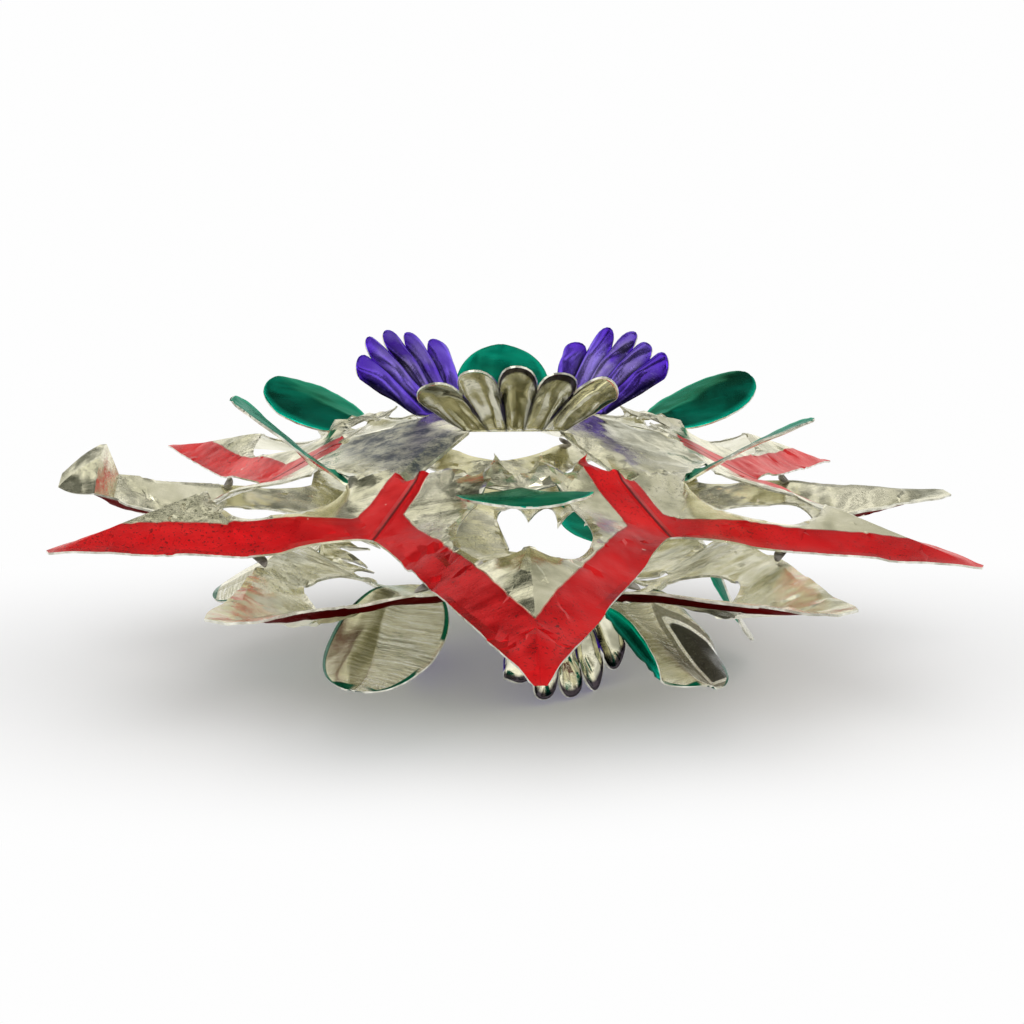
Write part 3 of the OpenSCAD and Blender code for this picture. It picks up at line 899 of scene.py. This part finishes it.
def banded_material(name, shift, tone_and_shade, metal, coat, glance):
    """Bare tin with the red lacquer bands, whose edge was brushed by hand.

    Tone is the lacquer's brightness, and below 1 it paints shade into the lacquer; glance is its
    reflection at a low angle.
    """
    n = material(name)
    tin, rough, nrm = tin_layers(n, shift)

    def lacquer(*color):
        return tuple(tone_and_shade * v for v in color)

    wobble = n.math("MULTIPLY", n.math("SUBTRACT", n.noise(75, 3, shift=shift), 0.5), 1.5)
    edge = n.math("ADD", n.attr("band"), wobble)
    paint = n.span(edge, -0.10, 0.10, 1.0, 0.0)
    cloud = n.noise(60, 3, 0.6, shift=shift + 7, dist=0.6)
    red = n.ramp(cloud, [
        (0.30, lacquer(0.50, 0.003, 0.006)),
        (0.50, lacquer(0.78, 0.008, 0.012)),
        (0.70, lacquer(0.95, 0.024, 0.026)),
    ])
    # Lacquer gathers along its edge and thins at wear
    red = n.mix(n.span(edge, -0.9, -0.1, 0.0, 0.35), red, lacquer(0.42, 0.005, 0.009))
    # The seams are pinched to a hard ridge, and a dark line of painted shade runs along each
    off = n.math("ABSOLUTE", n.attr("seam"))
    red = n.mix(n.span(off, 0.10, 0.34, 0.85, 0.0), red, (0.07, 0.002, 0.003))
    chips = n.span(n.noise(420, 2, 0.6, shift=shift + 9), 0.735, 0.75)
    specks = n.span(n.noise(2600, 3, 0.7, shift=shift + 3), 0.58, 0.64)
    where = n.math("MAXIMUM", n.span(n.noise(45, 2, shift=shift + 8), 0.45, 0.62), n.attr("pits"))
    red = n.mix(n.math("MULTIPLY", specks, where), red, (0.16, 0.012, 0.012))
    red = n.mix(chips, red, (0.90, 0.45, 0.40))
    color = n.mix(paint, tin, red)
    fine = n.noise(2600, 3, 0.6, shift=shift)
    gloss = n.span(cloud, 0.3, 0.7, 0.26, 0.38)
    gloss = n.math("ADD", gloss, n.span(fine, 0.3, 0.7, -0.03, 0.06))
    rmix = n.node("ShaderNodeMix", data_type="FLOAT")
    n.put(rmix.inputs[0], paint)
    n.put(rmix.inputs[2], rough)
    n.put(rmix.inputs[3], gloss)
    nrm = n.bump(n.math("MULTIPLY", fine, paint), 0.00003, 0.6, nrm)
    nrm = n.bump(paint, 0.00006, 0.7, nrm)
    nrm = n.bump(n.span(off, 0.1, 0.75, 1.0, 0.0), 0.0003, 0.9, nrm)
    return n.surface(**{
        "Base Color": color,
        "Metallic": n.span(paint, 0, 1, 1.0, metal),
        "Roughness": rmix.outputs[0],
        "Coat Weight": n.math("MULTIPLY", paint, coat),
        "Coat Roughness": 0.16,
        "Specular Tint": n.mix(paint, (1, 1, 1), glance),
        "Normal": nrm,
    })


def green_material():
    n = material("green_lacquer")
    cloud = n.noise(70, 3, 0.55, dist=0.7)
    c = n.ramp(cloud, [
        (0.30, (0.0, 0.035, 0.025)), (0.50, (0.0, 0.085, 0.06)), (0.70, (0.0, 0.26, 0.175)),
    ])
    # The front and the back leaf, near the middle of the ornament, are a lighter green
    place = n.node("ShaderNodeSeparateXYZ")
    n.put(place.inputs[0], n.obj)
    lighter_middle = n.span(n.math("ABSOLUTE", place.outputs[0]), 0.012, 0.020, 0.75, 0.0)
    c = n.mix(lighter_middle, c, n.ramp(cloud, [(0.35, (0.0, 0.16, 0.10)), (0.65, (0.0, 0.42, 0.28))]))
    # Painted highlight: a bright green reflection along the leaf's sides
    rim = n.span(n.math("ABSOLUTE", n.attr("across")), 0.82, 0.98, 0.0, 0.7)
    c = n.mix(rim, c, (0.0, 0.62, 0.42))
    streak = n.noise(240, 3, 0.7, stretch=(1, 6, 3))
    c = n.mix(n.span(streak, 0.60, 0.75, 0, 0.4), c, (0.01, 0.32, 0.22))
    nrm = n.bump(n.noise(130, 2), 0.0005, 0.5)
    nrm = n.bump(streak, 0.00005, 0.5, nrm)
    return n.surface(**{
        "Base Color": c, "Metallic": 0.9,
        "Roughness": n.span(cloud, 0.3, 0.7, 0.20, 0.34),
        "Coat Weight": 0.03, "Coat Roughness": 0.12, "Normal": nrm,
        "Specular Tint": (0.15, 0.70, 0.50),
    })


def petal_streaks(n, shift, scale):
    """Noise drawn out along the petals of a fan, in the fan's own measure."""
    flat = n.node("ShaderNodeCombineXYZ")
    n.put(flat.inputs[0], n.attr("over"))
    n.put(flat.inputs[1], n.math("MULTIPLY", n.attr("along"), FAN_LEN / 1000))
    n.put(flat.inputs[2], n.math("MULTIPLY", n.attr("petal"), 0.011))
    return n.noise(scale, 1, 0.4, stretch=(2.0, 0.55, 1), shift=shift, at=flat.outputs[0])


def violet_material():
    n = material("violet_lacquer")
    cloud = n.noise(90, 3, 0.6, dist=0.5)
    c = n.ramp(cloud, [
        (0.30, (0.06, 0.025, 0.30)), (0.50, (0.13, 0.06, 0.62)), (0.70, (0.27, 0.17, 1.0)),
    ])
    # Greyer in the middle of the fan, deeper violet at its sides and ends
    mid = n.span(n.math("ABSOLUTE", n.math("SUBTRACT", n.attr("petal"), 2.0)), 0.4, 1.8, 0.6, 0.0)
    greyer_middle = n.math("MULTIPLY", mid, n.span(n.noise(160, 3, 0.6, shift=4.0), 0.38, 0.60))
    c = n.mix(greyer_middle, c, (0.42, 0.37, 0.55))
    # Painted shade in the grooves between the petals
    groove_shade = n.span(n.attr("flute"), 0.22, 0.80, 1.0, 0.0)
    c = n.mix(n.math("MULTIPLY", groove_shade, 0.97), c, (0.010, 0.007, 0.035))
    end = n.span(n.attr("along"), 0.80, 1.0, 0.0, 0.7)
    c = n.mix(end, c, (0.08, 0.01, 0.62))
    streak = n.noise(300, 3, 0.7, stretch=(5, 1, 5))
    c = n.mix(n.span(streak, 0.60, 0.75, 0, 0.35), c, (0.34, 0.26, 0.72))
    nrm = n.bump(petal_streaks(n, 1.0, 130), 0.0010, 0.8)
    nrm = n.bump(streak, 0.00005, 0.6, nrm)
    return n.surface(**{
        "Base Color": c, "Metallic": 0.9,
        "Roughness": n.span(cloud, 0.3, 0.7, 0.12, 0.24),
        "Coat Weight": 0.12, "Coat Roughness": 0.12, "Normal": nrm,
        "Specular Tint": (0.45, 0.35, 0.90),
    })


def fan_inside_material(name, dark_ends):
    n = material(name)
    color, rough, nrm = tin_layers(n, 5.0)
    # Painted shade in the grooves between the petals
    groove_shade = n.span(n.attr("flute"), 0.0, 0.46, 1.0, 0.0)
    groove_shade = n.math("MULTIPLY", groove_shade, 0.5 if dark_ends else 0.9)
    color = n.mix(groove_shade, color, (0.05, 0.05, 0.035))
    wander = n.math("ADD", n.attr("along"), n.math("MULTIPLY", n.noise(200), 0.12))
    end = n.span(wander, 0.95, 1.0)
    if not dark_ends:
        # The ends of two petals are darkened: the violet of the other face curling into view, in
        # painted shade
        these = n.math("ABSOLUTE", n.math("SUBTRACT", n.attr("petal"), 2.5))
        these = n.span(these, 0.6, 0.9, 1.0, 0.0)
        end = n.math("MULTIPLY", n.span(wander, 0.93, 0.97), these)
    color = n.mix(n.math("MULTIPLY", end, 0.95), color, (0.02, 0.010, 0.03))
    rough = n.math("MULTIPLY", rough, 0.5)
    nrm = n.bump(petal_streaks(n, 8.0, 115), 0.0026, 0.9, nrm)
    return n.surface(**{
        "Base Color": color, "Metallic": 1.0, "Roughness": rough, "Normal": nrm,
    })


def leaf_inside_material():
    """The bare face of a lower leaf, with lacquer that ran over its rim."""
    n = material("tin_leaf_below")
    color, rough, nrm = tin_layers(n, 9.0)
    a = n.attr("across")
    # A smooth olive strip down the leaf, and a part brushed bright beside it
    rel = n.math("SUBTRACT", a, n.span(n.attr("along"), 0.0, 1.0, -0.42, 0.26))
    olive = n.math("MULTIPLY", n.span(rel, -0.50, -0.40), n.span(rel, -0.03, 0.02, 1.0, 0.0))
    brushed = n.span(rel, -0.02, 0.03, 0.35, 1.0)
    color = n.mix(n.math("MULTIPLY", olive, 0.85), color, (0.30, 0.28, 0.16))
    # Brushed across the leaf, in its own measure
    flat = n.node("ShaderNodeCombineXYZ")
    n.put(flat.inputs[0], n.math("MULTIPLY", a, LEAF_W / 2000))
    n.put(flat.inputs[1], n.math("MULTIPLY", n.attr("along"), LEAF_LEN / 1000))
    brush = n.noise(230, 5, 0.8, stretch=(0.45, 9, 1), shift=2.0, at=flat.outputs[0])
    bright = n.math("MULTIPLY", n.span(brush, 0.47, 0.57), brushed)
    color = n.mix(n.math("MULTIPLY", bright, 0.9), color, (1.0, 1.0, 0.96))
    dim = n.math("MULTIPLY", n.span(brush, 0.36, 0.47, 1.0, 0.0), brushed)
    color = n.mix(n.math("MULTIPLY", dim, 0.8), color, (0.30, 0.31, 0.27))
    # Painted shade on a pressed facet that faces away from the light, a painted highlight on the
    # ridge round it, and a dark painted line at its edge
    shaded_facet = n.attr("facet")
    color = n.mix(n.span(shaded_facet, 1.1, 1.25, 0.8, 0.0), color, (0.22, 0.21, 0.15))
    color = n.mix(n.span(shaded_facet, 0.40, 0.50, 1.0, 0.0), color, (1.0, 1.0, 0.94))
    color = n.mix(n.span(shaded_facet, -0.06, 0.06, 1.0, 0.0), color, (0.07, 0.07, 0.055))
    rim = n.span(n.math("ABSOLUTE", a), 0.91, 0.93)
    rim = n.math("MAXIMUM", rim, n.span(n.attr("along"), 0.94, 0.95))
    spill = n.math("MULTIPLY", rim, n.span(n.noise(110, 1, shift=3.0), 0.47, 0.50))
    color = n.mix(spill, color, (0.0, 0.13, 0.07))
    nrm = n.bump(n.math("MULTIPLY", brush, brushed), 0.00022, 0.9, nrm)
    return n.surface(**{
        "Base Color": color, "Metallic": 1.0, "Roughness": rough, "Normal": nrm,
    })


def solder_material():
    n = material("solder_dull")
    c = n.ramp(n.noise(500, 4), [(0.35, (0.16, 0.14, 0.13)), (0.65, (0.50, 0.47, 0.43))])
    return n.surface(**{
        "Base Color": c, "Metallic": 0.9,
        "Roughness": n.span(n.noise(700), 0.3, 0.7, 0.35, 0.6),
        "Normal": n.bump(n.noise(1400, 4), 0.0002, 0.8),
    })


bare, bare_leaf = tin_material("tin_bare"), tin_material("tin_bare_leaf", 9.0)
edge = edge_material()
upper_band = banded_material("tin_red_bands", 0.0, 1.0, 0.90, 0.08, (1, 1, 1))
# The lower sheet's lacquer is darkened to 0.15 of its colour: painted shade on faces that look
# down
lower_band_shaded = banded_material("tin_red_bands_below_shaded", 6.0, 0.15, 0.985, 0.0, (0.40, 0.09, 0.09))
green, violet = green_material(), violet_material()
fan_in = fan_inside_material("tin_fan", False)
fan_in_dark = fan_inside_material("tin_fan_dark", True)
solder, leaf_below = solder_material(), leaf_inside_material()

# The pieces ------------------------------


def add(ob, node):
    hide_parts(node)
    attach(ob, "root")


UPPER_PTS = star_points(UPPER_RIDGE, UPPER_END, UPPER_TIP, -1)
LOWER_PTS = star_points(LOWER_RIDGE, LOWER_END, LOWER_TIP, KNOCKED)
for which, pts, band in (("upper", UPPER_PTS, upper_band), ("lower", LOWER_PTS, lower_band_shaded)):
    ob = sheet_object("tin_" + which + "_star", which, pts, [band, bare, edge])
    fit_inside(ob, *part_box(which + "_star"))
    add(ob, which + "_star")

# Each sheet's fans: places, bends, length, narrowing, first seed and material of the bare face
FANS = {
    "upper": (["front", "back_right", "back_left"],
              UPPER_FAN_BEND, UPPER_FAN_LEN, 0.0, 2.0, fan_in),
    "lower": (["front_right", "back_right", "left"],
              [LOWER_FAN_BEND] * 3, LOWER_FAN_LEN, 0.2, 7.0, fan_in_dark),
}
for which, (ends, bends, length, draw, seed, inner) in FANS.items():
    for i, end in enumerate(ends):
        node = which + "_fan_" + end
        ob = fan_object(node, which, 120 * i, bends[i], length, draw, seed + i,
                        [violet, inner, edge])
        add(ob, node)

# Each sheet's leaves: places, heights of the ridges, bends, forms, first seed and bare face
LEAVES = {
    "upper": (["front", "front_right", "back_right", "back", "back_left", "front_left"],
              UPPER_RIDGE, UPPER_LEAF_BEND, UPPER_FORM, 1.3, bare_leaf),
    "lower": (["front_right", "right", "back_right", "back_left", "left", "front_left"],
              LOWER_RIDGE, LOWER_LEAF_BEND, LOWER_FORM, 15.1, leaf_below),
}
# A crease's two ends, width and height
CREASES = {
    "lower_leaf_front_right": [(2.6, 0, 1.6, 17, 3.4, 1.5), (4.4, 1, 8, 9, 1.8, -0.9)],
    "lower_leaf_front_left": [(-2.5, 1, -3.5, 17, 3.0, -0.45)],
    "upper_leaf_front": [(-4, 1.0, 4, 1.4, 1.2, 0.35)],
}
# A fold's two ends and its angle
FOLDS = {"lower_leaf_front_right": (-5.6, 0.5, -6.0, 19.0, 112)}
# A pressed facet that faces away from the light, where shade and a highlight round it are painted
SHADED_FACETS = {"lower_leaf_front_right": [(3.9, 4.6), (8.6, 12.0), (6.4, 16.4), (2.2, 17.0)]}
SHORTER = {"upper_leaf_back_left": 0.87}
for which, (ends, ridges, bends, forms, seed, inner) in LEAVES.items():
    for i, end in enumerate(ends):
        node = which + "_leaf_" + end
        ob = leaf_object(node, which, i, ridges[i], bends[i], forms[i], seed + 2 * i,
                         [green, inner, edge], CREASES.get(node, ()), FOLDS.get(node),
                         SHADED_FACETS.get(node), SHORTER.get(node, 1.0))
        add(ob, node)

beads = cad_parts["solder_beads"]
beads.data.materials.clear()
beads.data.materials.append(solder)

# Floor, light and camera ------------------------------

# The white behind all, the floor's own colour and glow, and its least white in a reflection
WHITE = 0.99
FLOOR = (0.86, 0.86, 0.86)
FLOOR_GLOW, FLOOR_IN_GLOSS = 0.09, 0.35

f = material("floor")
diff = f.node("ShaderNodeBsdfDiffuse")
f.put(diff.inputs["Color"], FLOOR)
path = f.node("ShaderNodeLightPath").outputs
seen = f.math("MAXIMUM", path["Is Camera Ray"], path["Is Glossy Ray"])
both = f.node("ShaderNodeAddShader")
glow = f.light("ShaderNodeEmission", (1, 1, 1), f.math("MULTIPLY", seen, FLOOR_GLOW))
f.put_all(both, (diff.outputs[0], glow))
# Away from the ornament the floor runs into the white behind it
spread = f.node("ShaderNodeMapping")
f.put(spread.inputs["Vector"], f.obj)
f.put(spread.inputs["Location"], (0, -0.006, 0))
f.put(spread.inputs["Scale"], (0.45, 1.25, 1))
size = f.node("ShaderNodeVectorMath", operation="LENGTH")
f.put(size.inputs[0], spread.outputs[0])
far = f.math("MULTIPLY", f.span(size.outputs["Value"], 0.020, 0.080, smooth=True), seen)
far = f.math("MAXIMUM", far, f.math("MULTIPLY", path["Is Glossy Ray"], FLOOR_IN_GLOSS))
white = f.light("ShaderNodeEmission", (1, 1, 1), WHITE)
f.put(f.out.inputs[0], f.mix_shader(far, both.outputs[0], white))
me = bpy.data.meshes.new("floor")
me.from_pydata([(-6, -6, 0), (6, -6, 0), (6, 6, 0), (-6, 6, 0)], [], [(0, 1, 2, 3)])
floor = bpy.data.objects.new("floor", me)
me.materials.append(f.mat)
bpy.context.scene.collection.objects.link(floor)

world = bpy.context.scene.world or bpy.data.worlds.new("world")
bpy.context.scene.world = world
world.use_nodes = True
w = Nodes(world.node_tree, "ShaderNodeOutputWorld")
way = w.coords["Generated"]
axes = w.node("ShaderNodeSeparateXYZ")
w.put(axes.inputs[0], way)
axes = axes.outputs


def toward(direction, wide, narrow, most):
    """Rises to most where a ray of the world points in one direction."""
    dot = w.node("ShaderNodeVectorMath", operation="DOT_PRODUCT")
    w.put_all(dot, (way, direction))
    return w.span(dot.outputs["Value"], wide, narrow, 0.0, most, smooth=True)


# The light comes mostly from above, as from a wide diffuser
sky = w.light("ShaderNodeBackground", (1, 1, 1), w.span(axes["Z"], 0, 1, 0.34, 1.02))
# Metal sees the white sweep behind, and a darker room with soft panels above and in front
low = w.mix(w.span(axes["Y"], -0.2, 0.6), (0.22, 0.22, 0.18), (0.95, 0.95, 0.93))
room = w.mix(w.span(axes["Z"], 0.22, 0.62), low, (0.06, 0.065, 0.055))
shine = w.span(w.noise(3.2, 1.0, 0.5, at=way), 0.495, 0.545, smooth=True)
# A half-lit panel above and behind shows in the front right point, a dark one in the back leaves
shine = w.math("MAXIMUM", shine, toward((0.40, 0.51, 0.76), 0.90, 0.97, 0.55), clamp=True)
shine = w.math("SUBTRACT", shine, toward((0.0, 0.72, 0.69), 0.95, 0.99, 0.7), clamp=True)
gloss = w.light("ShaderNodeBackground", w.mix(shine, room, (1.12, 1.10, 1.02)))
path = w.node("ShaderNodeLightPath").outputs
lit = w.mix_shader(path["Is Glossy Ray"], sky, gloss)
backdrop = w.light("ShaderNodeBackground", (1, 1, 1), WHITE)
w.put(w.out.inputs[0], w.mix_shader(path["Is Camera Ray"], lit, backdrop))


def lamp(name, place_m, aim, size, power):
    data = bpy.data.lights.new(name, "AREA")
    data.shape, data.size, data.energy = "DISK", size, power
    ob = bpy.data.objects.new(name, data)
    ob.location = place_m
    ob.rotation_euler = (Vector(aim) - Vector(place_m)).to_track_quat("-Z", "Y").to_euler()
    bpy.context.scene.collection.objects.link(ob)


MIDDLE = (0, 0, 0.03)
lamp("key", (-0.06, -0.30, 0.52), MIDDLE, 0.34, 0.55)
lamp("side", (0.42, -0.20, 0.34), MIDDLE, 0.22, 0.14)

# The camera, fitted to the photograph: place, degrees down and to the right, focal length in mm
CAMERA, DOWN, RIGHT, LENS = (-0.00825, -0.18938, 0.0735), 12.51, 2.24, 43.66
cam = bpy.data.cameras.new("camera")
cam.sensor_width, cam.lens = 36, LENS
cam.shift_x, cam.shift_y = 0.0059, -0.0365
cam.clip_start = 0.01
co = bpy.data.objects.new("camera", cam)
co.location = CAMERA
co.rotation_euler = (math.radians(90 - DOWN), 0, math.radians(-RIGHT))
bpy.context.scene.collection.objects.link(co)
bpy.context.scene.camera = co

bpy.context.scene.view_settings.view_transform = "Standard"
